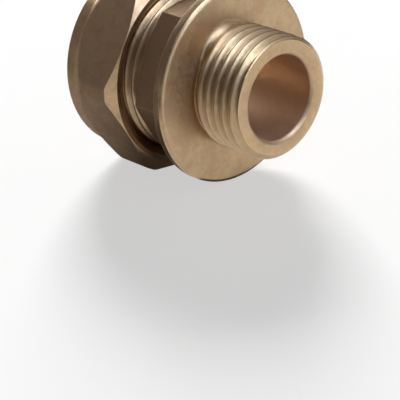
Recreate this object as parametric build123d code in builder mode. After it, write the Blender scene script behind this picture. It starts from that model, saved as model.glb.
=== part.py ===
"""Straight compression coupling in brass: a flanged body with a parallel pipe thread, a nut and an olive."""
from build123d import *
import math
import os

os.makedirs("parts", exist_ok=True)

# Frame: X is the axis of the coupling, with the male pipe thread towards +X, and Z is up.
# The origin is on the axis, in the plane of the flange's sealing face.

# Male pipe thread, a half-inch parallel thread, as its crest cylinder
pipe_thread_d = 20.955
pipe_thread_length = 10.3
pipe_lead_depth = 0.73
pipe_lead_angle = 42.0
pipe_wall = 3.28
waterway_mouth_bevel = 0.35

# Tube and its socket, with the coned seat at the socket's mouth
tube_d = 22.0
tube_clearance = 0.05
tube_stop_depth = 12.6
seat_angle = 30.0
seat_width = 1.75

# Compression thread of the body, as its crest cylinder round the seat
seat_mouth_wall = 1.2
nut_thread_length = 8.4
nut_thread_lead = 0.7

# Spanner hexagon of the body, with its flats just under the thread's crests
body_hex_inset = 0.1
body_hex_length = 6.9
body_hex_turn = 4.4
body_hex_chamfer_angle = 30.0

# Flange, past the corners of that hexagon
flange_lip = 1.05
flange_thickness = 1.9
flange_bevel = 0.5

# Olive, the ring that is pressed onto the tube
olive_length = 6.4
olive_wall = 1.45
olive_end_wall = 0.45
olive_seat_clearance = 0.1

# Compression nut, with its wall measured at the flats and its corners turned down
nut_wall = 2.55
nut_corner_cut = 0.7
nut_front_gap = 2.4
nut_face_inset = 0.1
nut_face_chamfer_angle = 30.0
nut_mouth_bevel = 1.6
nut_collar_inset = 0.1
nut_collar_length = 2.6
nut_shoulder_angle = 56.0
nut_back_wall = 2.1
nut_back_bevel = 0.3
nut_thread_clearance = 0.1
nut_tube_clearance = 0.2
nut_olive_clearance = 0.4


def rise(run, angle):
    """Height that a line at this angle gains over this run."""
    return run * math.tan(math.radians(angle))


def run_of(height, angle):
    """Length that a line at this angle needs to gain this height."""
    return height / math.tan(math.radians(angle))


# Radii of the male end, and where its lead chamfer starts
pipe_r = pipe_thread_d / 2
lead_r = pipe_r - pipe_lead_depth
lead_start = pipe_thread_length - run_of(pipe_lead_depth, pipe_lead_angle)
waterway_r = pipe_r - pipe_wall

# Radii of the tube end, and places along X from the sealing face towards the tube, which lies at -X
socket_r = tube_d / 2 + tube_clearance
seat_mouth_r = socket_r + seat_width
thread_r = seat_mouth_r + seat_mouth_wall
hex_apothem = thread_r - body_hex_inset
hex_corner_r = hex_apothem / math.cos(math.pi / 6)
hex_corner_drop = rise(hex_corner_r - hex_apothem, body_hex_chamfer_angle)
hex_end = -flange_thickness - body_hex_length
flange_r = hex_corner_r + flange_lip
body_end = hex_end - nut_thread_length
seat_throat = body_end + run_of(seat_width, seat_angle)
tube_stop = body_end + tube_stop_depth

# The olive's crown is an arc, and it lies against the body's seat at one flank
olive_r = socket_r + olive_wall
olive_end_r = socket_r + olive_end_wall
olive_sagitta = olive_r - olive_end_r
olive_crown_r = ((olive_length / 2) ** 2 + olive_sagitta**2) / (2 * olive_sagitta)
olive_crown_centre = olive_r - olive_crown_r
seat_reach = (olive_crown_r + olive_seat_clearance) / math.cos(math.radians(seat_angle))
olive_middle = body_end + run_of(seat_mouth_r - olive_crown_centre - seat_reach, seat_angle)
olive_front = olive_middle + olive_length / 2
olive_back = olive_middle - olive_length / 2

# The nut's inner cone lies against the olive's other flank
nut_thread_r = thread_r + nut_thread_clearance
nut_hole_r = tube_d / 2 + nut_tube_clearance
nut_face = hex_end - nut_front_gap
nut_hole_end = olive_middle - run_of(seat_reach + olive_crown_centre - nut_hole_r, seat_angle)
nut_back = nut_hole_end - nut_back_wall
nut_seat_mouth_r = olive_r + nut_olive_clearance
nut_shoulder = nut_hole_end + run_of(nut_seat_mouth_r - nut_hole_r, seat_angle)
nut_apothem = nut_thread_r + nut_wall
nut_corner_r = nut_apothem / math.cos(math.pi / 6) - nut_corner_cut
nut_face_r = nut_apothem - nut_face_inset
nut_collar_r = nut_apothem - nut_collar_inset
nut_collar_end = nut_back + nut_collar_length
nut_face_drop = rise(nut_corner_r - nut_face_r, nut_face_chamfer_angle)
nut_shoulder_drop = rise(nut_corner_r - nut_collar_r, nut_shoulder_angle)

# Coupling body: hexagon, then its round ends, then the bores
with BuildPart() as coupling_body:
    with BuildSketch(Plane.YZ.offset(hex_end)):
        RegularPolygon(hex_apothem, 6, major_radius=False, rotation=body_hex_turn)
    extrude(amount=body_hex_length)
    with BuildSketch(Plane.XZ):
        with BuildLine():
            Polyline(
                (hex_end, 0),
                (hex_end, hex_apothem),
                (hex_end + hex_corner_drop, hex_corner_r),
                (-flange_thickness, hex_corner_r),
                (-flange_thickness, 0),
                close=True,
            )
        make_face()
    revolve(axis=Axis.X, mode=Mode.INTERSECT)
    with BuildSketch(Plane.XZ):
        with BuildLine():
            Polyline(
                (body_end, 0),
                (body_end, thread_r - nut_thread_lead),
                (body_end + nut_thread_lead, thread_r),
                (hex_end, thread_r),
                (hex_end, hex_apothem),
                (-flange_thickness, hex_apothem),
                (-flange_thickness, flange_r),
                (-flange_bevel, flange_r),
                (0, flange_r - flange_bevel),
                (0, pipe_r),
                (lead_start, pipe_r),
                (pipe_thread_length, lead_r),
                (pipe_thread_length, 0),
                close=True,
            )
        make_face()
    revolve(axis=Axis.X)
    with BuildSketch(Plane.XZ):
        with BuildLine():
            Polyline(
                (body_end, 0),
                (body_end, seat_mouth_r),
                (seat_throat, socket_r),
                (tube_stop, socket_r),
                (tube_stop, waterway_r),
                (pipe_thread_length - waterway_mouth_bevel, waterway_r),
                (pipe_thread_length, waterway_r + waterway_mouth_bevel),
                (pipe_thread_length, 0),
                close=True,
            )
        make_face()
    revolve(axis=Axis.X, mode=Mode.SUBTRACT)

# Compression nut: hexagon with turned corners, round collar at the back, threaded bore and olive seat
with BuildPart() as compression_nut:
    with BuildSketch(Plane.YZ.offset(nut_back)):
        RegularPolygon(nut_apothem, 6, major_radius=False)
    extrude(amount=nut_face - nut_back)
    with BuildSketch(Plane.XZ):
        with BuildLine():
            Polyline(
                (nut_collar_end, 0),
                (nut_collar_end, nut_collar_r),
                (nut_collar_end + nut_shoulder_drop, nut_corner_r),
                (nut_face - nut_face_drop, nut_corner_r),
                (nut_face, nut_face_r),
                (nut_face, 0),
                close=True,
            )
        make_face()
    revolve(axis=Axis.X, mode=Mode.INTERSECT)
    with BuildSketch(Plane.XZ):
        with BuildLine():
            Polyline(
                (nut_back, 0),
                (nut_back, nut_collar_r - nut_back_bevel),
                (nut_back + nut_back_bevel, nut_collar_r),
                (nut_collar_end, nut_collar_r),
                (nut_collar_end, 0),
                close=True,
            )
        make_face()
    revolve(axis=Axis.X)
    with BuildSketch(Plane.XZ):
        with BuildLine():
            Polyline(
                (nut_back, 0),
                (nut_back, nut_hole_r),
                (nut_hole_end, nut_hole_r),
                (nut_shoulder, nut_seat_mouth_r),
                (nut_shoulder, nut_thread_r),
                (nut_face - nut_mouth_bevel, nut_thread_r),
                (nut_face, nut_thread_r + nut_mouth_bevel),
                (nut_face, 0),
                close=True,
            )
        make_face()
    revolve(axis=Axis.X, mode=Mode.SUBTRACT)

# Olive: a ring with a crowned outside
with BuildPart() as olive:
    with BuildSketch(Plane.XZ):
        with BuildLine():
            Polyline(
                (olive_back, olive_end_r),
                (olive_back, socket_r),
                (olive_front, socket_r),
                (olive_front, olive_end_r),
            )
            ThreePointArc((olive_front, olive_end_r), (olive_middle, olive_r), (olive_back, olive_end_r))
        make_face()
    revolve(axis=Axis.X)

coupling_body.part.label = "coupling_body"
export_step(coupling_body.part, "parts/coupling_body.step")
compression_nut.part.label = "compression_nut"
export_step(compression_nut.part, "parts/compression_nut.step")
olive.part.label = "olive"
export_step(olive.part, "parts/olive.step")
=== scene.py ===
"""Looks of a straight brass compression coupling: body, nut and olive on a pale floor in studio light."""

import logging
import math
from dataclasses import dataclass, field
from enum import Enum

import bpy
import numpy as np
from mathutils import Matrix, Vector


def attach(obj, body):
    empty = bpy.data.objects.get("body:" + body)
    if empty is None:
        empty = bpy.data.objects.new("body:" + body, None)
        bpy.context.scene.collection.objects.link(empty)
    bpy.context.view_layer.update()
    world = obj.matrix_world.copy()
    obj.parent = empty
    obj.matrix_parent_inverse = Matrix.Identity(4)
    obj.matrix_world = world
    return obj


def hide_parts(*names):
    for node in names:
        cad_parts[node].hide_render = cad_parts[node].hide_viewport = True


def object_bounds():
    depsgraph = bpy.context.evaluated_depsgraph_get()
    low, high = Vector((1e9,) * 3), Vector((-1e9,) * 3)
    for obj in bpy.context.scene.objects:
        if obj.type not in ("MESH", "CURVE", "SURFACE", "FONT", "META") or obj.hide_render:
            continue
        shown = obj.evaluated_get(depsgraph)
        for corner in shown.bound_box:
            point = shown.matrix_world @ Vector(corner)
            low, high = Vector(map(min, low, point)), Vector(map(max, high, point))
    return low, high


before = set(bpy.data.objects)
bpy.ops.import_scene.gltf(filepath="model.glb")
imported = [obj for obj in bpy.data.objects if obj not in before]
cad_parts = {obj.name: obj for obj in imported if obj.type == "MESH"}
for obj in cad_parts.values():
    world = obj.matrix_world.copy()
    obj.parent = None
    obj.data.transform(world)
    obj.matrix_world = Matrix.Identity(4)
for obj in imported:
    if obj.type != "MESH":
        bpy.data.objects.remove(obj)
cad_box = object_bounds()

log = logging.getLogger("coupling")

# Sizes of the coupling are in millimetres, as in the CAD model, with X along the axis and x = 0 at the
# flange's sealing face. Sizes of the studio are in metres, where nothing else is said. ROW_GAP is the measure
# of the gaps between a stretch of rows and the corners next to it.
MM = 0.001
PITCH = 25.4 / 14.0
CREST_WEAR = 0.6
ROOT_WEAR = -0.7
ROW_GAP = 0.1
FLOOR_GAP = 0.00002
CARD_LIFT = 0.00001
TINY = 1e-6
SEED_STEP = (0.013, 0.029, 0.007)

Colour = tuple[float, float, float]


class Surface(Enum):
    """How a stretch of metal was made, as its shares of turning marks, of browning and of mattness."""

    TURNED = (1.0, 0.0, 0.0)
    THREADED = (1.0, 0.0, 0.45)
    FACED = (1.0, 0.0, 1.15)
    DRAWN = (0.0, 0.0, 1.2)
    SCALED = (0.0, 0.0, 0.1)
    WORKED = (0.5, 0.0, 0.4)
    BORED = (1.0, 1.0, 1.5)


def smooth_min(a: np.ndarray, b: np.ndarray, soft: float) -> np.ndarray:
    """Gives the smaller of two values, rounded off where they come close.

    Within `soft` of each other, the minimum is lowered by h squared over four times soft, with
    h = soft - |a - b|.

    Args:
        a: First values.
        b: Second values, of a shape that goes with the first.
        soft: Distance at which the rounding starts.

    Returns:
        The rounded minimum.
    """
    h = np.maximum(soft - np.abs(a - b), 0.0)
    return np.minimum(a, b) - h * h / (4.0 * soft)


def smooth_step(t: np.ndarray) -> np.ndarray:
    """Gives 0 below 0, 1 above 1 and 3 t squared less 2 t cubed between."""
    t = np.clip(t, 0.0, 1.0)
    return t * t * (3.0 - 2.0 * t)


def thread_wear(below: np.ndarray) -> np.ndarray:
    """Gives the polish of a thread, from that of its crests at 0 to the grime of its roots at 1."""
    return CREST_WEAR + (ROOT_WEAR - CREST_WEAR) * below


@dataclass(frozen=True)
class HexForm:
    """Hexagonal outline about the X axis, with its corners turned down to a radius.

    Attributes:
        apothem: Distance from the axis to a flat.
        corner_r: Radius that the corners are turned to.
        turn_deg: Angle of a flat's middle from +Z, towards -Y.
        soft: Rounding between the flats and the turned corners.
        even: Share of even spacing in the angles.
    """

    apothem: float
    corner_r: float
    turn_deg: float
    soft: float
    even: float = 0.35

    def angles(self, per_flat: int) -> np.ndarray:
        """Gives angles round the axis that lie closer together towards the corners.

        Over each flat, s runs from -1 to 1 and the angle is 30 degrees times (e s + (1 - e) sin(90 s)), with
        the share e of even spacing.

        Args:
            per_flat: Number of angles for each flat.

        Returns:
            Angles in radians, rising, one turn less the last step.
        """
        s = np.arange(per_flat) / per_flat * 2.0 - 1.0
        across = math.radians(30.0) * (self.even * s + (1.0 - self.even) * np.sin(s * math.pi / 2.0))
        middles = np.arange(6) * math.radians(60.0) + math.radians(self.turn_deg)
        return (middles[:, None] + across[None, :]).ravel()

    def radius(self, theta: np.ndarray) -> np.ndarray:
        """Gives the outline's radius: the apothem over the cosine, or the corner's radius where that is less.

        Args:
            theta: Angles from +Z towards -Y, in radians.

        Returns:
            Radius at each angle.
        """
        sixth = math.radians(60.0)
        across = np.mod(theta - math.radians(self.turn_deg) + sixth / 2.0, sixth) - sixth / 2.0
        return smooth_min(self.apothem / np.cos(across), np.full_like(theta, self.corner_r), self.soft)


@dataclass(frozen=True)
class ThreadForm:
    """Right-hand parallel thread with rounded crests and roots, in the proportions of a 55 degree thread.

    Attributes:
        crest_r: Radius over the crests.
        crest_at: Place along X of a crest at the angle 0.
        runouts: For each end, the places along X where the groove starts and where it has its full depth.
        share: Share of the full form's height that a shallow cut leaves.
        blend: Reach of the shifts that round crests and roots, in pitches.
        flank_deg: Half the angle between two flanks.
        pitch: Distance from crest to crest.
    """

    crest_r: float
    crest_at: float
    runouts: tuple[tuple[float, float], ...]
    share: float = 0.82
    blend: float = 0.07
    flank_deg: float = 27.5
    pitch: float = PITCH

    @property
    def depth(self) -> float:
        """Height from root to crest, two thirds of the sharp form's."""
        return self.sharp_height * 2.0 / 3.0

    @property
    def sharp_height(self) -> float:
        """Height of the thread's triangle if its flanks met in points."""
        return self.share * self.pitch / (2.0 * math.tan(math.radians(self.flank_deg)))

    def drop(self, x: np.ndarray, theta: np.ndarray) -> np.ndarray:
        """Gives how far the thread lies under its crests.

        The distance from the nearest crest, counted in pitches along the helix, gives the depth on sharp
        flanks. A sixth of the triangle is cut off at crest and root, and the mean over seven short shifts
        rounds what is left. Where the groove's own root lies in a runout, a smooth step takes the depth from
        nothing to all.

        Args:
            x: Places along X.
            theta: Angles from +Z towards -Y, in radians.

        Returns:
            Depth under the crests, from 0 to the thread's depth.
        """
        turns = (x - self.crest_at) / self.pitch - theta / (2.0 * math.pi)
        shifts = np.linspace(-self.blend, self.blend, 7)
        away = np.abs(np.mod(turns[..., None] + shifts + 0.5, 1.0) - 0.5)
        flank = (2.0 * away - 1.0 / 6.0) * self.sharp_height
        root = self.crest_at + self.pitch * (np.floor(turns) + 0.5 + theta / (2.0 * math.pi))
        depth = np.clip(flank, 0.0, self.depth).mean(axis=-1)
        for start, full in self.runouts:
            depth = depth * smooth_step((root - start) / (full - start))
        return depth


@dataclass(frozen=True)
class Nick:
    """Small dent or burr in the metal.

    Attributes:
        x: Place along X.
        r: Distance from the axis.
        turn_deg: Angle from +Z, towards -Y.
        width: Reach of the mark.
        depth: How far the metal is pushed in, less than 0 where it stands proud.
    """

    x: float
    r: float
    turn_deg: float
    width: float
    depth: float


@dataclass
class Section:
    """Outline of a turned piece, gathered as rows of points that each go once round the X axis.

    Attributes:
        theta: Angles of the points in every row.
        stretches: Rows so far, as (x, radius, rounding, surface, wear), each array with one row per line.
        most: Greatest share of a side that a rounding takes.
        guard: How many times further out the row just outside a rounding lies.
        guard_most: Greatest share of a side at which that row lies.
        fringe: Share of half a wave at which the wear along a rounding starts and ends.
    """

    theta: np.ndarray
    stretches: list[tuple[np.ndarray, np.ndarray, float, Surface, np.ndarray]] = field(default_factory=list)
    most: float = 0.42
    guard: float = 1.3
    guard_most: float = 0.47
    fringe: float = 0.15

    def corner(
        self, x: float | np.ndarray, r: float | np.ndarray, finish: Surface, *, soft: float, wear: float = 0.0
    ) -> None:
        """Adds a corner of the outline, to be rounded.

        Args:
            x: Place along X, one value or one for each angle.
            r: Radius, one value or one for each angle.
            finish: How the metal here was made.
            soft: Length of the rounding on either side of the corner.
            wear: Polish that the edge has taken, up to 1, or less than 0 where it holds grime.
        """
        ones = np.ones((1, self.theta.size))
        self.stretches.append((ones * x, ones * r, soft, finish, ones * wear))

    def rows(self, x: np.ndarray, r: np.ndarray, finish: Surface, wear: np.ndarray) -> None:
        """Adds rows of points as they are.

        Args:
            x: Place of each row along X.
            r: Radius, with one line for each row.
            finish: How the metal here was made.
            wear: Polish of the metal, of the same shape as the radius.
        """
        self.stretches.append((x[:, None] * np.ones_like(r), r, 0.0, finish, wear))

    def rounded(self, index: int, steps: int = 4) -> list[np.ndarray]:
        """Gives one stretch with its corner rounded.

        The rounding is the curve (1 - t)^2 A + 2 t (1 - t) K + t^2 B from A to B, which lie on the two sides
        of the corner K. One more row just outside each of them keeps the flat stretches next to it flat in
        shading. The wear along the curve follows half a sine wave, less a fringe at both ends.

        Args:
            index: Which stretch.
            steps: Rows on the curve, less one.

        Returns:
            Places, radii, wear, turned, browned and matt, each with one line for each row.
        """
        x, r, soft, surface, wear = self.stretches[index]
        if soft > 0.0:
            before = self.stretches[index - 1]
            after = self.stretches[(index + 1) % len(self.stretches)]
            knot = np.stack([x[0], r[0]])
            ends = ((before[0][-1], before[1][-1]), (after[0][0], after[1][0]))
            sides = [np.stack(end) - knot for end in ends]
            shares = [soft / np.maximum(np.hypot(*side), TINY) for side in sides]
            ways = list(zip(sides, shares))
            a, b = (knot + side * np.minimum(share, self.most) for side, share in ways)
            far_a, far_b = (
                knot + side * np.minimum(share * self.guard, self.guard_most) for side, share in ways
            )
            t = np.linspace(0.0, 1.0, steps + 1)[:, None, None]
            curve = (1 - t) ** 2 * a + 2 * t * (1 - t) * knot + t**2 * b
            bent = np.concatenate([far_a[None], curve, far_b[None]])
            x, r = bent[:, 0], bent[:, 1]
            half_wave = np.sin(np.linspace(self.fringe, 1.0 - self.fringe, steps + 1) * math.pi)
            wear = np.concatenate([[0.0], half_wave, [0.0]])[:, None] * wear
        return [x, r, wear, *(np.full_like(r, share) for share in surface.value)]

    def piece(self, name: str, nicks: tuple[Nick, ...] = ()) -> bpy.types.Object:
        """Carries the closed outline round the axis and makes it a mesh object.

        A point at place x, radius r and angle theta lies at (x, -r sin theta, r cos theta). Rows and angles
        both join up with themselves, so that the surface is closed with no seam or pole. A nick lowers the
        radius by its depth times exp(-d squared over its width squared), at the distance d from its middle.

        Args:
            name: Name of the object and its mesh.
            nicks: Dents and burrs.

        Returns:
            The object, at the origin.
        """
        parts = [self.rounded(i) for i in range(len(self.stretches))]
        x, r, *values = (np.concatenate(part) for part in zip(*parts))
        for nick in nicks:
            across = np.mod(self.theta - math.radians(nick.turn_deg) + math.pi, 2.0 * math.pi) - math.pi
            away = (x - nick.x) ** 2 + (r - nick.r) ** 2 + (r * across) ** 2
            r = r - nick.depth * np.exp(-away / nick.width**2)
        points = np.stack([x, -r * np.sin(self.theta), r * np.cos(self.theta)], axis=-1) * MM
        piece = closed_grid(name, points)
        for label, value in zip(("wear", "turned", "browned", "matt"), values):
            attribute = piece.data.attributes.new(label, "FLOAT", "POINT")
            attribute.data.foreach_set("value", value.astype(np.float32).ravel())
        return piece


def closed_grid(name: str, points: np.ndarray) -> bpy.types.Object:
    """Makes a smooth mesh object of a grid of points that joins up with itself both ways.

    Args:
        name: Name of the object and its mesh.
        points: Points in metres, as rows, columns and the three coordinates.

    Returns:
        The object, linked to the scene.
    """
    rows, columns = points.shape[:2]
    index = np.arange(rows * columns).reshape(rows, columns)
    below, right = np.roll(index, -1, axis=0), np.roll(index, -1, axis=1)
    corners = np.stack([index, below, np.roll(below, -1, axis=1), right], axis=-1).reshape(-1, 4)
    mesh = bpy.data.meshes.new(name)
    mesh.vertices.add(points.shape[0] * points.shape[1])
    mesh.vertices.foreach_set("co", points.astype(np.float32).ravel())
    mesh.loops.add(corners.size)
    mesh.loops.foreach_set("vertex_index", corners.astype(np.int32).ravel())
    mesh.polygons.add(len(corners))
    mesh.polygons.foreach_set("loop_start", np.arange(0, corners.size, 4, dtype=np.int32))
    mesh.update(calc_edges=True)
    mesh.polygons.foreach_set("use_smooth", np.ones(len(corners), dtype=bool))
    piece = bpy.data.objects.new(name, mesh)
    bpy.context.scene.collection.objects.link(piece)
    return piece


class NodePad:
    """Node tree of one material, with short calls that add nodes and join them."""

    def __init__(self, name: str) -> None:
        """Starts a material with an empty node tree.

        Args:
            name: Name of the material.
        """
        self.material = bpy.data.materials.new(name)
        self.material.use_nodes = True
        self.tree = self.material.node_tree
        self.tree.nodes.clear()

    def node(self, kind: str, inputs: dict[str | int, object], **settings: object) -> bpy.types.Node:
        """Adds a node.

        Args:
            kind: Type of the node, less its ShaderNode prefix.
            inputs: Values or other nodes' outputs, by the input's name or number.
            **settings: Properties of the node itself.

        Returns:
            The node.
        """
        made = self.tree.nodes.new("ShaderNode" + kind)
        for key, value in settings.items():
            setattr(made, key, value)
        for key, value in inputs.items():
            if isinstance(value, bpy.types.NodeSocket):
                self.tree.links.new(value, made.inputs[key])
            else:
                made.inputs[key].default_value = value
        return made

    def math(self, operation: str, a: object, b: object = 0.0) -> bpy.types.NodeSocket:
        """Adds a sum on one or two numbers and gives its result."""
        return self.node("Math", {0: a, 1: b}, operation=operation).outputs[0]

    def mix(self, share: object, a: object, b: object) -> bpy.types.NodeSocket:
        """Adds a blend from colour a to colour b and gives its result."""
        made = self.node("Mix", {"Factor": share}, data_type="RGBA")
        for socket, value in ((made.inputs[6], a), (made.inputs[7], b)):
            if isinstance(value, bpy.types.NodeSocket):
                self.tree.links.new(value, socket)
            else:
                socket.default_value = (*value, 1.0)
        return made.outputs[2]

    def ramp(self, value: object, low: float, high: float, start: float, end: float) -> bpy.types.NodeSocket:
        """Adds a smooth step that takes low to start and high to end, and gives its result."""
        inputs = {"Value": value, "From Min": low, "From Max": high, "To Min": start, "To Max": end}
        return self.node("MapRange", inputs, interpolation_type="SMOOTHSTEP").outputs["Result"]

    def scaled(self, vector: object, factors: tuple[float, float, float]) -> bpy.types.NodeSocket:
        """Adds a product of a vector and three factors, and gives it."""
        return self.node("VectorMath", {0: vector, 1: factors}, operation="MULTIPLY").outputs["Vector"]

    def attribute(self, name: str) -> bpy.types.NodeSocket:
        """Adds a reading of one of the mesh's own values and gives it."""
        return self.node("Attribute", {}, attribute_name=name).outputs["Fac"]

    def noise(self, vector: object, size_mm: float, detail: float, **inputs: float) -> bpy.types.NodeSocket:
        """Adds cloud noise with patches of this size and gives its value."""
        values = {"Vector": vector, "Scale": 1.0 / (size_mm * MM), "Detail": detail, **inputs}
        return self.node("TexNoise", values).outputs["Fac"]


@dataclass(frozen=True)
class BrassFinish:
    """Satin brass with tool lines, fine grain, patches of tone, small pits and polished edges.

    Attributes:
        name: Name of the material.
        clean: Colour of clean metal.
        dull: Colour of metal that has browned a little.
        worn: Colour of polished edges and crests.
        grime: Colour of stains, thread roots and pits.
        flats: Colour of the drawn flats.
        inside: Colour of the browned bores.
        roughness: Mean roughness.
        spread: How far the roughness varies.
        seed: Shift of all patterns, so that pieces differ.
        mark_mm: Spacing of tool lines.
        drawn_share: Spacing of the lines on drawn flats, as a multiple of mark_mm.
        drawn_out: How fast drawn lines change along X, against across it.
        cloud_mm: Size of the largest patches of tone.
        stain_mm: Size of the stains.
        mottle_mm: Size of the smallest patches of tone.
        grain_mm: Size of the grain.
        pit_mm: Size of the cells that may hold a pit.
        matt_rough: Roughness that a mattness of 1 adds.
    """

    name: str
    clean: Colour
    dull: Colour
    worn: Colour
    grime: Colour
    flats: Colour
    inside: Colour
    roughness: float
    spread: float
    seed: float
    mark_mm: float
    drawn_share: float = 1.5
    drawn_out: float = 0.05
    cloud_mm: float = 6.0
    stain_mm: float = 2.2
    mottle_mm: float = 0.8
    grain_mm: float = 0.14
    pit_mm: float = 1.9
    matt_rough: float = 0.13

    def tool_lines(self, pad: NodePad, at: bpy.types.NodeSocket) -> bpy.types.NodeSocket:
        """Adds the lines that tools have left, as a height from 0 to 1.

        On turned metal they are noise along x plus the distance from the axis, which runs round cylinders and
        faces alike. On drawn flats they are noise that is stretched along x. The attribute turned blends the
        two.

        Args:
            pad: Tree to add to.
            at: Object coordinates.

        Returns:
            The height.
        """
        per_mark = 1.0 / (self.mark_mm * MM)
        flat = pad.scaled(at, (0.0, 1.0, 1.0))
        from_axis = pad.node("VectorMath", {0: flat}, operation="LENGTH").outputs["Value"]
        along = pad.math("ADD", pad.node("SeparateXYZ", {"Vector": at}).outputs["X"], from_axis)
        cycles = pad.math("MULTIPLY", along, per_mark)
        inputs = {"W": cycles, "Scale": 1.0, "Detail": 3.0}
        rings = pad.node("TexNoise", inputs, noise_dimensions="1D").outputs["Fac"]
        stretched = pad.scaled(at, (self.drawn_out, 1.0, 1.0))
        lines = pad.noise(stretched, self.mark_mm * self.drawn_share, 3.0)
        turned = pad.attribute("turned")
        return pad.math("ADD", lines, pad.math("MULTIPLY", turned, pad.math("SUBTRACT", rings, lines)))

    def pits(self, pad: NodePad, at: bpy.types.NodeSocket) -> bpy.types.NodeSocket:
        """Adds sparse small pits, 1 in their middles: in some cells of a cell pattern, near the cell's point.

        Args:
            pad: Tree to add to.
            at: Shifted coordinates.

        Returns:
            How much of a pit there is.
        """
        cells = pad.node("TexVoronoi", {"Vector": at, "Scale": 1.0 / (self.pit_mm * MM)})
        draw = pad.node("SeparateColor", {"Color": cells.outputs["Color"]}).outputs[0]
        chosen = pad.ramp(draw, 0.6, 0.75, 0.0, 1.0)
        return pad.math("MULTIPLY", chosen, pad.ramp(cells.outputs["Distance"], 0.03, 0.085, 1.0, 0.0))

    def material(self) -> bpy.types.Material:
        """Builds the node material.

        Returns:
            The material.
        """
        pad = NodePad(self.name)
        at = pad.node("TexCoord", {}).outputs["Object"]
        shift = tuple(self.seed * step for step in SEED_STEP)
        moved = pad.node("Mapping", {"Vector": at, "Location": shift}).outputs["Vector"]
        wear, browned = pad.attribute("wear"), pad.attribute("browned")
        lines, pits = self.tool_lines(pad, at), self.pits(pad, moved)
        cloud = pad.noise(moved, self.cloud_mm, 4.0, Distortion=0.5)
        stain = pad.noise(moved, self.stain_mm, 5.0, Distortion=0.8)
        mottle = pad.noise(moved, self.mottle_mm, 4.0)
        grain = pad.noise(moved, self.grain_mm, 3.0)

        colour = pad.mix(pad.ramp(cloud, 0.35, 0.68, 0.0, 1.0), self.clean, self.dull)
        colour = pad.mix(pad.ramp(mottle, 0.45, 0.75, 0.0, 0.55), colour, self.dull)
        colour = pad.mix(pad.ramp(pad.attribute("turned"), 0.0, 1.0, 0.78, 0.0), colour, self.flats)
        colour = pad.mix(pad.ramp(stain, 0.45, 0.7, 0.0, 0.45), colour, self.grime)
        colour = pad.mix(pad.ramp(wear, 0.1, 1.0, 0.0, 0.7), colour, self.worn)
        colour = pad.mix(pad.ramp(wear, -0.1, -1.0, 0.0, 0.6), colour, self.grime)
        brown = pad.math("MULTIPLY", browned, pad.ramp(cloud, 0.3, 0.7, 0.7, 1.0))
        colour = pad.mix(brown, colour, self.inside)
        colour = pad.mix(pad.math("MULTIPLY", pits, 0.5), colour, self.grime)

        rough = pad.ramp(mottle, 0.3, 0.7, self.roughness - self.spread, self.roughness + self.spread)
        rough = pad.math("ADD", rough, pad.ramp(cloud, 0.3, 0.7, -0.03, 0.03))
        rough = pad.math("ADD", rough, pad.ramp(lines, 0.35, 0.65, -0.03, 0.03))
        rough = pad.math("SUBTRACT", rough, pad.ramp(wear, 0.1, 1.0, 0.0, 0.05))
        rough = pad.math("ADD", rough, pad.math("MULTIPLY", pad.attribute("matt"), self.matt_rough))

        # Each height has its strength and its depth in millimetres
        normal = None
        waves = ((cloud, 0.6, 0.03), (stain, 0.6, 0.01), (mottle, 0.5, 0.005))
        marks = ((grain, 0.4, 0.007), (lines, 0.6, 0.009), (pits, 0.7, -0.03))
        for height, strength, deep_mm in waves + marks:
            inputs = {"Height": height, "Strength": strength, "Distance": deep_mm * MM}
            if normal:
                inputs["Normal"] = normal
            normal = pad.node("Bump", inputs).outputs["Normal"]
        shader = pad.node(
            "BsdfPrincipled", {"Base Color": colour, "Roughness": rough, "Metallic": 1.0, "Normal": normal}
        )
        pad.node("OutputMaterial", {"Surface": shader.outputs["BSDF"]})
        return pad.material


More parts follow.
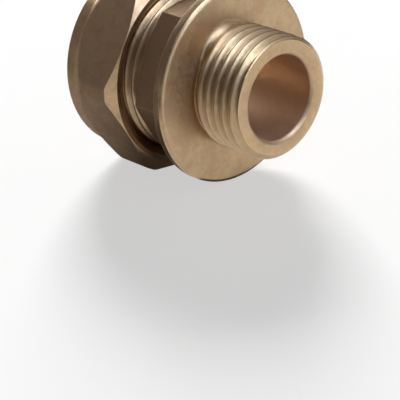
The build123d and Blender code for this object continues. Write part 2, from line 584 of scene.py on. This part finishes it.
@dataclass
class CouplingBody:
    """Body of the coupling: male pipe thread, flange, spanner hexagon, compression thread and tube socket.

    Sizes are in millimetres, slopes are rise over run, and places along X count from the flange's sealing
    face. The neck's rounding swells by neck_swell at the angle swell_deg, and swell_focus says how quickly
    that fades. The flange's rim shows turned metal next to its bevel, and scale from turned_rim on.
    """

    pipe_thread: ThreadForm = ThreadForm(10.4775, -0.6, ((0.2, 1.2),))
    relief_r: float = 9.6
    relief_end: float = 0.4
    relief_slope: float = 1.2
    relief_soft: float = 0.1
    neck_fillet: float = 0.12
    neck_swell: float = 1.8
    swell_deg: float = 21.0
    swell_focus: float = 8.0
    neck_steps: int = 25
    face_step: float = 0.12
    pipe_end: float = 10.3
    lead_r: float = 9.7475
    lead_slope: float = math.tan(math.radians(60.0))
    waterway_r: float = 7.1975
    mouth_bevel: float = 0.5
    flange_r: float = 17.1
    flange_bevel: float = 0.5
    turned_rim: float = 0.5
    flange_back: float = -1.9
    hexagon: HexForm = HexForm(13.9, 16.0, 4.4, 0.08)
    hex_end: float = -8.8
    hex_face_r: float = 13.85
    hex_chamfer_slope: float = math.tan(math.radians(30.0))
    nut_thread: ThreadForm = ThreadForm(14.0, -11.04, ((-9.1, -9.8),))
    thread_lead: float = 0.7
    foot_inset: float = 0.15
    foot_slope: float = 0.6
    end_inset: float = 0.1
    body_end: float = -17.2
    seat_mouth_r: float = 12.8
    seat_throat: float = -14.169
    socket_r: float = 11.05
    tube_stop: float = -4.6
    pipe_row_step: float = 0.09
    nut_row_step: float = 0.099
    per_flat: int = 44
    nicks: tuple[Nick, ...] = (
        Nick(-0.2, 16.8, 98.5, 0.42, 0.16),
        Nick(10.15, 9.85, 54.0, 0.2, -0.14),
        Nick(-0.1, 16.7, 141.0, 0.35, 0.09),
    )

    def thread_rows(
        self, section: Section, thread: ThreadForm, x: np.ndarray, cap: np.ndarray, finish: Surface
    ) -> None:
        """Adds a thread's rows to the section.

        Args:
            section: Section to add to.
            thread: The thread's form.
            x: Place of each row along X.
            cap: Largest radius in each row.
            finish: Surface of the thread.
        """
        drop = thread.drop(x[:, None], section.theta[None, :])
        r = np.minimum(thread.crest_r - drop, cap[:, None])
        section.rows(x, r, finish, thread_wear(drop / thread.depth))

    def outline(self) -> Section:
        """Gathers the body's outline, from the male end over the outside and back through the bores.

        Returns:
            The section.
        """
        section = Section(self.hexagon.angles(self.per_flat))
        theta, hex_r = section.theta, self.hexagon.radius(section.theta)
        section.corner(self.pipe_end, self.waterway_r + self.mouth_bevel, Surface.FACED, soft=0.3, wear=0.2)

        end_r = self.pipe_thread.crest_r - self.pipe_thread.drop(np.full_like(theta, self.pipe_end), theta)
        section.corner(self.pipe_end, np.minimum(end_r, self.lead_r), Surface.TURNED, soft=0.08, wear=0.6)
        neck = self.neck_fillet + self.neck_swell
        x = np.arange(self.pipe_end - ROW_GAP, neck + ROW_GAP / 2.0, -self.pipe_row_step)
        lead = self.lead_r + (self.pipe_end - x) * self.lead_slope
        self.thread_rows(section, self.pipe_thread, x, lead, Surface.THREADED)
        self.neck_rows(section)

        section.corner(0.0, self.flange_r - self.flange_bevel, Surface.FACED, soft=0.3, wear=0.4)
        section.corner(-self.flange_bevel, self.flange_r, Surface.TURNED, soft=0.3, wear=0.3)
        scaled_from = -self.flange_bevel - self.turned_rim
        section.corner(scaled_from, self.flange_r, Surface.SCALED, soft=0.05, wear=-0.3)
        section.corner(self.flange_back, self.flange_r, Surface.DRAWN, soft=0.22)
        section.corner(self.flange_back, hex_r, Surface.DRAWN, soft=0.2)
        chamfer_end = self.hex_end + np.maximum(hex_r - self.hex_face_r, 0.0) * self.hex_chamfer_slope
        section.corner(chamfer_end, hex_r, Surface.DRAWN, soft=0.1, wear=0.4)
        section.corner(self.hex_end, self.hex_face_r, Surface.DRAWN, soft=0.05, wear=0.3)

        x = np.arange(self.hex_end - 2.5 * ROW_GAP, self.body_end + ROW_GAP, -self.nut_row_step)
        lead = self.nut_thread.crest_r - self.thread_lead + (x - self.body_end)
        section.corner(self.hex_end, self.hex_face_r - self.foot_inset, Surface.TURNED, soft=0.06)
        self.thread_rows(section, self.nut_thread, x, np.minimum(lead, self.thread_foot(x)), Surface.WORKED)
        end_r = self.nut_thread.crest_r - self.nut_thread.drop(np.full_like(theta, self.body_end), theta)
        end_r = np.minimum(end_r, self.nut_thread.crest_r - self.thread_lead - self.end_inset)
        section.corner(self.body_end, end_r, Surface.TURNED, soft=0.08, wear=0.4)

        section.corner(self.body_end, self.seat_mouth_r, Surface.TURNED, soft=0.08, wear=0.5)
        section.corner(self.seat_throat, self.socket_r, Surface.TURNED, soft=0.1)
        section.corner(self.tube_stop, self.socket_r, Surface.BORED, soft=0.2)
        section.corner(self.tube_stop, self.waterway_r, Surface.BORED, soft=0.15)
        section.corner(self.pipe_end - self.mouth_bevel, self.waterway_r, Surface.BORED, soft=0.3)
        return section

    def neck_rows(self, section: Section) -> None:
        """Adds the relief groove by the flange, its hollow rounding and one row of the flange's flat face.

        The circle's radius f is small all round and swells where the thread's last turn runs out, by a bell
        curve about that angle, and there the groove fades out by the same curve. At the distance x from the
        flange the thread's radius grows by f - sqrt(f^2 - (f - x)^2).

        Args:
            section: Section to add to.
        """
        bell = np.exp(self.swell_focus * (np.cos(section.theta - math.radians(self.swell_deg)) - 1.0))
        fillet = (self.neck_fillet + self.neck_swell * bell)[None, :]
        quarter = np.linspace(0.0, math.pi / 2.0, self.neck_steps)
        x = (self.neck_fillet + self.neck_swell) * (1.0 - np.sin(quarter))[:, None]
        short = np.maximum(fillet - x, 0.0)
        grown = fillet - np.sqrt(fillet**2 - short**2)
        x, grown = np.append(x, 0.0), np.vstack((grown, fillet + self.face_step))
        thread_r = self.pipe_thread.crest_r - self.pipe_thread.drop(x[:, None], section.theta[None, :])
        relief = self.relief_r + self.relief_slope * np.maximum(x - self.relief_end, 0.0)
        fading = (self.pipe_thread.crest_r - self.relief_r) * bell
        r = smooth_min(thread_r, relief[:, None] + fading[None, :], self.relief_soft) + grown
        section.rows(x[:-1], r[:-1], Surface.THREADED, np.zeros_like(r[:-1]))
        section.rows(x[-1:], r[-1:], Surface.FACED, np.zeros_like(r[-1:]))

    def thread_foot(self, x: np.ndarray) -> np.ndarray:
        """Gives the radius that the compression thread may have by the hexagon, where a tool has run out.

        Args:
            x: Place of each row along X.

        Returns:
            Largest radius in each row.
        """
        return self.hex_face_r - self.foot_inset + (self.hex_end - x) * self.foot_slope

    def build(self, finish: BrassFinish) -> bpy.types.Object:
        """Builds and dresses the body.

        Args:
            finish: Metal of the body.

        Returns:
            The piece, riding on its CAD body.
        """
        piece = self.outline().piece("coupling_body_looks", self.nicks)
        piece.data.materials.append(finish.material())
        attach(piece, "coupling")
        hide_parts("coupling_body")
        return piece


@dataclass
class CompressionNut:
    """Compression nut: hexagon with turned corners, round collar, threaded bore and coned olive seat.

    Sizes are in millimetres, slopes are rise over run, and places along X count from the flange's sealing
    face. The share turned_face of the front chamfer is turned metal, and the rest of it passes over to the
    drawn flats.
    """

    hexagon: HexForm = HexForm(16.65, 18.52, 0.0, 0.2)
    face: float = -11.2
    face_r: float = 16.55
    face_slope: float = math.tan(math.radians(30.0))
    turned_face: float = 0.93
    collar_r: float = 16.55
    collar_end: float = -21.844
    shoulder_slope: float = math.tan(math.radians(56.0))
    back: float = -24.444
    back_bevel: float = 0.3
    hole_r: float = 11.2
    hole_end: float = -22.344
    seat_mouth_r: float = 12.9
    shoulder: float = -19.399
    thread: ThreadForm = ThreadForm(14.0, -11.04, ())
    thread_clearance: float = 0.1
    mouth_bevel: float = 1.6
    relief_r: float = 14.3
    relief_length: float = 1.0
    row_step: float = 0.1
    per_flat: int = 40

    def outline(self) -> Section:
        """Gathers the nut's outline, from its front face over the outside and back through the bore.

        Returns:
            The section.
        """
        section = Section(self.hexagon.angles(self.per_flat))
        hex_r = self.hexagon.radius(section.theta)
        mouth_r = self.thread.crest_r + self.thread_clearance + self.mouth_bevel
        section.corner(self.face, mouth_r, Surface.TURNED, soft=0.15, wear=0.4)
        section.corner(self.face, self.face_r, Surface.TURNED, soft=0.08, wear=0.5)
        over = hex_r - self.face_r
        turned = self.turned_face * over
        turned_to = self.face - turned * self.face_slope
        section.corner(turned_to, self.face_r + turned, Surface.TURNED, soft=0.02, wear=0.4)
        section.corner(self.face - over * self.face_slope, hex_r, Surface.DRAWN, soft=0.06, wear=0.3)
        shoulder = self.collar_end + (hex_r - self.collar_r) * self.shoulder_slope
        section.corner(shoulder, hex_r, Surface.DRAWN, soft=0.5, wear=0.3)
        section.corner(self.collar_end, self.collar_r, Surface.WORKED, soft=0.45)
        section.corner(self.back + self.back_bevel, self.collar_r, Surface.WORKED, soft=0.2, wear=0.2)
        section.corner(self.back, self.collar_r - self.back_bevel, Surface.TURNED, soft=0.2, wear=0.5)
        section.corner(self.back, self.hole_r, Surface.TURNED, soft=0.18, wear=0.5)
        section.corner(self.hole_end, self.hole_r, Surface.TURNED, soft=0.12)
        section.corner(self.shoulder, self.seat_mouth_r, Surface.TURNED, soft=0.12)
        section.corner(self.shoulder, self.relief_r, Surface.TURNED, soft=0.15)
        section.corner(self.shoulder + self.relief_length, self.relief_r, Surface.TURNED, soft=0.15)

        x = np.arange(self.shoulder + self.relief_length + 2.0 * ROW_GAP, self.face - ROW_GAP, self.row_step)
        drop = self.thread.drop(x[:, None], section.theta[None, :])
        mouth = (mouth_r - (self.face - x))[:, None]
        thread_r = self.thread.crest_r - drop + self.thread_clearance
        wear = np.where(mouth > thread_r, 0.0, thread_wear(1.0 - drop / self.thread.depth))
        section.rows(x, np.maximum(thread_r, mouth), Surface.TURNED, wear)
        return section

    def build(self, finish: BrassFinish) -> bpy.types.Object:
        """Builds and dresses the nut.

        Args:
            finish: Metal of the nut.

        Returns:
            The piece, riding on its CAD body.
        """
        piece = self.outline().piece("compression_nut_looks")
        piece.data.materials.append(finish.material())
        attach(piece, "nut")
        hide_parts("compression_nut")
        return piece


@dataclass
class Olive:
    """Olive: a brass ring with a crowned outside that is pressed onto the tube.

    Sizes are in millimetres, and places along X count from the flange's sealing face.
    """

    front: float = -15.186
    back: float = -21.586
    bore_r: float = 11.05
    end_r: float = 11.5
    crown_r: float = 5.62
    crown_centre_r: float = 6.88
    angles: int = 144
    crown_steps: int = 28

    def outline(self) -> Section:
        """Gathers the olive's outline: its crown is an arc about a circle inside the ring.

        Returns:
            The section.
        """
        section = Section(np.arange(self.angles) * 2.0 * math.pi / self.angles)
        section.corner(self.front, self.bore_r, Surface.TURNED, soft=0.08, wear=0.4)
        section.corner(self.front, self.end_r, Surface.TURNED, soft=0.08, wear=0.4)
        middle = (self.front + self.back) / 2.0
        x = np.linspace(self.front - 3.0 * ROW_GAP, self.back + 3.0 * ROW_GAP, self.crown_steps)
        r = self.crown_centre_r + np.sqrt(self.crown_r**2 - (x - middle) ** 2)
        around = np.ones((x.size, self.angles))
        section.rows(x, r[:, None] * around, Surface.TURNED, np.zeros_like(around))
        section.corner(self.back, self.end_r, Surface.TURNED, soft=0.08, wear=0.4)
        section.corner(self.back, self.bore_r, Surface.TURNED, soft=0.08, wear=0.4)
        return section

    def build(self, finish: BrassFinish) -> bpy.types.Object:
        """Builds and dresses the olive.

        Args:
            finish: Metal of the olive.

        Returns:
            The piece, riding on its CAD body.
        """
        piece = self.outline().piece("olive_looks")
        piece.data.materials.append(finish.material())
        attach(piece, "olive")
        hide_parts("olive")
        return piece


def bearing(turn_deg: float, rise_deg: float) -> Vector:
    """Gives the direction at a turn from -Y towards +X and a rise above the floor, both in degrees."""
    turn, rise = math.radians(turn_deg), math.radians(rise_deg)
    return Vector((math.sin(turn) * math.cos(rise), -math.cos(turn) * math.cos(rise), math.sin(rise)))


class LampTarget(Enum):
    """What a lamp is there for: the metal, which mirrors it, or the matt floor, which shows shadows."""

    METAL = (True, False)
    FLOOR = (False, True)


@dataclass(frozen=True)
class Softbox:
    """Rectangular studio lamp that faces the coupling.

    Attributes:
        name: Name of the lamp.
        turn_deg: Direction round Z, from -Y towards +X.
        rise_deg: Direction above the floor.
        distance: Distance from the coupling, in metres.
        size: Width and height, in metres.
        watts: Power.
        target: What the lamp is there for.
        tint: Colour of the light.
    """

    name: str
    turn_deg: float
    rise_deg: float
    distance: float
    size: tuple[float, float]
    watts: float
    target: LampTarget
    tint: Colour = (1.0, 1.0, 1.0)

    def hang(self) -> None:
        """Adds the lamp to the scene."""
        lamp = bpy.data.lights.new(self.name, "AREA")
        lamp.shape = "RECTANGLE"
        lamp.size, lamp.size_y = self.size
        lamp.energy, lamp.color = self.watts, self.tint
        towards = bearing(self.turn_deg, self.rise_deg)
        holder = bpy.data.objects.new(self.name, lamp)
        holder.location = towards * self.distance
        holder.rotation_euler = towards.to_track_quat("Z", "Y").to_euler()
        holder.visible_glossy, holder.visible_diffuse = self.target.value
        bpy.context.scene.collection.objects.link(holder)


@dataclass(frozen=True)
class MirroredShadeCard:
    """Glowing card of painted shade on the floor beside the coupling. It stands for the floor in shade, and
    only mirror images in the metal show it.

    Attributes:
        name: Name of the card.
        low: Least x and y, in metres.
        high: Greatest x and y, in metres.
        tone: Brightness of the painted shade where it is lightest.
        tint: Colour of the card.
        fade_x: Places along X, in metres, from which and to which the card grows bright, so that it is
            darkest next to the coupling as a painted contact shadow.
        contact_shadow_share: Share of the tone before fade_x, the painted contact shadow.
        fade_y: Places along Y, in metres, from which and to which the card grows dark again.
        front_share: Share of the tone past fade_y.
    """

    name: str
    low: tuple[float, float]
    high: tuple[float, float]
    tone: float
    tint: Colour = (1.0, 0.95, 0.9)
    fade_x: tuple[float, float] = (-0.012, -0.034)
    contact_shadow_share: float = 0.13
    fade_y: tuple[float, float] = (-0.045, -0.065)
    front_share: float = 0.38

    def lay(self, floor_z: float) -> None:
        """Lays the card.

        Args:
            floor_z: Height of the floor, in metres.
        """
        pad = NodePad(self.name)
        at = pad.node("TexCoord", {}).outputs["Object"]
        place = pad.node("SeparateXYZ", {"Vector": at})
        # Painted contact shadow: the card is darkest next to the coupling and grows bright away from it along
        # X, and it grows darker again towards the front along Y.
        away = pad.ramp(place.outputs["X"], *self.fade_x, self.tone * self.contact_shadow_share, self.tone)
        aside = pad.ramp(place.outputs["Y"], *self.fade_y, 1.0, self.front_share)
        tone = pad.math("MULTIPLY", away, aside)
        # The card glows as painted shade of the floor, though it is no lamp.
        glow = pad.node("Emission", {"Color": (*self.tint, 1.0), "Strength": tone})
        pad.node("OutputMaterial", {"Surface": glow.outputs["Emission"]})
        card = floor_plane(self.name, self.low, self.high, floor_z + CARD_LIFT, pad.material)
        # Only the metal's mirror images show this painted shade. The camera, the floor's lighting and the
        # shadows don't see it.
        card.visible_camera = False
        card.visible_diffuse = False
        card.visible_transmission = False
        card.visible_shadow = False


def floor_plane(
    name: str, low: tuple[float, float], high: tuple[float, float], z: float, material: bpy.types.Material
) -> bpy.types.Object:
    """Makes a level rectangle that belongs to the studio and not to the coupling.

    Args:
        name: Name of the object and its mesh.
        low: Least x and y, in metres.
        high: Greatest x and y, in metres.
        z: Height, in metres.
        material: What it is made of.

    Returns:
        The object, linked to the scene.
    """
    mesh = bpy.data.meshes.new(name)
    corners = [(low[0], low[1], z), (high[0], low[1], z), (high[0], high[1], z), (low[0], high[1], z)]
    mesh.from_pydata(corners, [], [(0, 1, 2, 3)])
    mesh.materials.append(material)
    plane = bpy.data.objects.new(name, mesh)
    bpy.context.scene.collection.objects.link(plane)
    return plane


@dataclass
class Studio:
    """Floor, lamps, cards of painted shade and world round the coupling.

    Attributes:
        floor_half: Half the floor's width, in metres.
        floor_colour: Colour of the floor.
        cloud_mm: Size of the patches in the floor's tone, in millimetres.
        cloud_share: Brightness of the darker patches.
        floor_white: Share of plain white in the floor as the camera sees it.
        mirrored_white: Share of plain white in the floor as the metal mirrors it.
        world_colour: Colour of the dim room.
        world_strength: Brightness of the dim room.
        lamps: The softboxes.
        cards: Glowing cards of painted shade on the floor that only the metal mirrors.
    """

    floor_half: float = 3.0
    floor_colour: Colour = (0.9, 0.9, 0.9)
    cloud_mm: float = 60.0
    cloud_share: float = 0.985
    floor_white: float = 0.57
    mirrored_white: float = 0.72
    world_colour: Colour = (1.0, 0.92, 0.88)
    world_strength: float = 0.1
    lamps: tuple[Softbox, ...] = (
        Softbox("side_softbox", 97.0, 51.0, 0.6, (0.29, 0.97), 3.3, LampTarget.METAL, (0.87, 1.02, 1.27)),
        Softbox("back_softbox", 145.0, 40.0, 0.7, (0.6, 0.6), 0.5, LampTarget.METAL),
        Softbox("left_softbox", -52.0, 20.0, 0.8, (0.9, 0.6), 0.12, LampTarget.METAL, (1.0, 0.9, 0.85)),
        Softbox("bore_softbox", -96.6, 32.2, 0.062, (0.035, 0.03), 0.0145, LampTarget.METAL),
        Softbox("floor_softbox", -129.5, 25.5, 2.6, (0.84, 0.84), 151.0, LampTarget.FLOOR),
    )
    # Cards of painted shade in the metal's mirror images: darker floor to the left of the coupling, a painted
    # shadow under it, and darker floor in front.
    cards: tuple[MirroredShadeCard, ...] = (
        MirroredShadeCard("left_painted_shade", (-0.4, -0.4), (-0.006, 0.014), 0.39),
        MirroredShadeCard("under_painted_shadow", (-0.006, -0.008), (0.0008, 0.014), 0.1),
        MirroredShadeCard("front_painted_shade", (0.002, -0.4), (0.14, -0.05), 0.8),
    )

    def floor_material(self) -> bpy.types.Material:
        """Builds the floor's paint: a pale matt tone that varies by a hair, part of it plain white.

        Returns:
            The material.
        """
        pad = NodePad("floor_paint")
        at = pad.node("TexCoord", {}).outputs["Object"]
        cloud = pad.noise(at, self.cloud_mm, 3.0)
        darker = tuple(self.cloud_share * part for part in self.floor_colour)
        colour = pad.mix(pad.ramp(cloud, 0.3, 0.7, 0.0, 1.0), self.floor_colour, darker)
        paint = pad.node("BsdfDiffuse", {"Color": colour})
        white = pad.node("Emission", {"Color": (1.0, 1.0, 1.0, 1.0), "Strength": 1.0})
        path = pad.node("LightPath", {})
        seen = pad.math("MULTIPLY", path.outputs["Is Camera Ray"], self.floor_white)
        mirrored = pad.math("MAXIMUM", path.outputs["Is Glossy Ray"], path.outputs["Is Transmission Ray"])
        share = pad.math("MAXIMUM", seen, pad.math("MULTIPLY", mirrored, self.mirrored_white))
        blend = pad.node("MixShader", {0: share, 1: paint.outputs["BSDF"], 2: white.outputs["Emission"]})
        pad.node("OutputMaterial", {"Surface": blend.outputs["Shader"]})
        return pad.material

    def build(self, floor_z: float) -> None:
        """Builds the floor, the lamps, the cards and the world.

        Args:
            floor_z: Height of the floor, in metres.
        """
        half = self.floor_half
        floor_plane("floor", (-half, -half), (half, half), floor_z, self.floor_material())
        for lamp in self.lamps:
            lamp.hang()
        for card in self.cards:
            card.lay(floor_z)
        world = bpy.data.worlds.new("dim_room")
        world.use_nodes = True
        background = world.node_tree.nodes["Background"]
        background.inputs["Color"].default_value = (*self.world_colour, 1.0)
        background.inputs["Strength"].default_value = self.world_strength
        bpy.context.scene.world = world


@dataclass(frozen=True)
class PhotoCamera:
    """Camera at the photograph's viewing angle.

    Attributes:
        place: Place of the lens in millimetres.
        turn_deg: Turn of the line of sight, from -Y towards +X as seen from the coupling.
        rise_deg: Height of the camera above the coupling, as an angle.
        roll_deg: Turn of the picture about the line of sight.
        lens_mm: Focal length.
        sensor_mm: Width of the sensor.
        reach: Nearest and farthest distance that the camera sees, in metres.
    """

    place: tuple[float, float, float] = (201.575, -194.091, 106.537)
    turn_deg: float = 47.487
    rise_deg: float = 24.5
    roll_deg: float = -2.172
    lens_mm: float = 162.0
    sensor_mm: float = 36.0
    reach: tuple[float, float] = (0.01, 20.0)

    def build(self) -> None:
        """Adds the camera and makes it the scene's."""
        data = bpy.data.cameras.new("photo_camera")
        data.lens, data.sensor_width = self.lens_mm, self.sensor_mm
        data.clip_start, data.clip_end = self.reach
        camera = bpy.data.objects.new("photo_camera", data)
        back = bearing(self.turn_deg, self.rise_deg)
        level = Vector((math.cos(math.radians(self.turn_deg)), math.sin(math.radians(self.turn_deg)), 0.0))
        roll = math.radians(self.roll_deg)
        right = level * math.cos(roll) + back.cross(level) * math.sin(roll)
        turn = Matrix((right, back.cross(right), back)).transposed()
        camera.matrix_world = Matrix.Translation(Vector(self.place) * MM) @ turn.to_4x4()
        bpy.context.scene.collection.objects.link(camera)
        bpy.context.scene.camera = camera


BODY_BRASS = BrassFinish(
    name="body_brass",
    clean=(0.58, 0.42, 0.245),
    dull=(0.51, 0.355, 0.21),
    worn=(0.70, 0.555, 0.375),
    grime=(0.52, 0.31, 0.165),
    flats=(0.385, 0.26, 0.165),
    inside=(0.65, 0.445, 0.31),
    roughness=0.32,
    spread=0.05,
    seed=1.0,
    mark_mm=0.11,
)
NUT_BRASS = BrassFinish(
    name="nut_brass",
    clean=(0.66, 0.455, 0.26),
    dull=(0.53, 0.36, 0.215),
    worn=(0.66, 0.48, 0.31),
    grime=(0.43, 0.265, 0.175),
    flats=(0.525, 0.355, 0.22),
    inside=(0.37, 0.265, 0.19),
    roughness=0.35,
    spread=0.05,
    seed=2.0,
    mark_mm=0.12,
)
OLIVE_BRASS = BrassFinish(
    name="olive_brass",
    clean=(0.62, 0.435, 0.26),
    dull=(0.56, 0.385, 0.23),
    worn=(0.68, 0.50, 0.31),
    grime=(0.42, 0.28, 0.17),
    flats=(0.58, 0.40, 0.24),
    inside=(0.50, 0.34, 0.21),
    roughness=0.24,
    spread=0.04,
    seed=3.0,
    mark_mm=0.08,
)


def main() -> None:
    logging.basicConfig(level=logging.INFO, format="%(name)s: %(message)s")
    bpy.context.scene.view_settings.view_transform = "Standard"
    pieces = ((CouplingBody(), BODY_BRASS), (CompressionNut(), NUT_BRASS), (Olive(), OLIVE_BRASS))
    for maker, finish in pieces:
        piece = maker.build(finish)
        log.info("%s: %d faces in %s", piece.name, len(piece.data.polygons), finish.name)
    Studio().build(cad_box[0].z - FLOOR_GAP)
    log.info("floor, lamps, cards and world")
    PhotoCamera().build()
    log.info("camera")


if __name__ == "__main__":
    main()
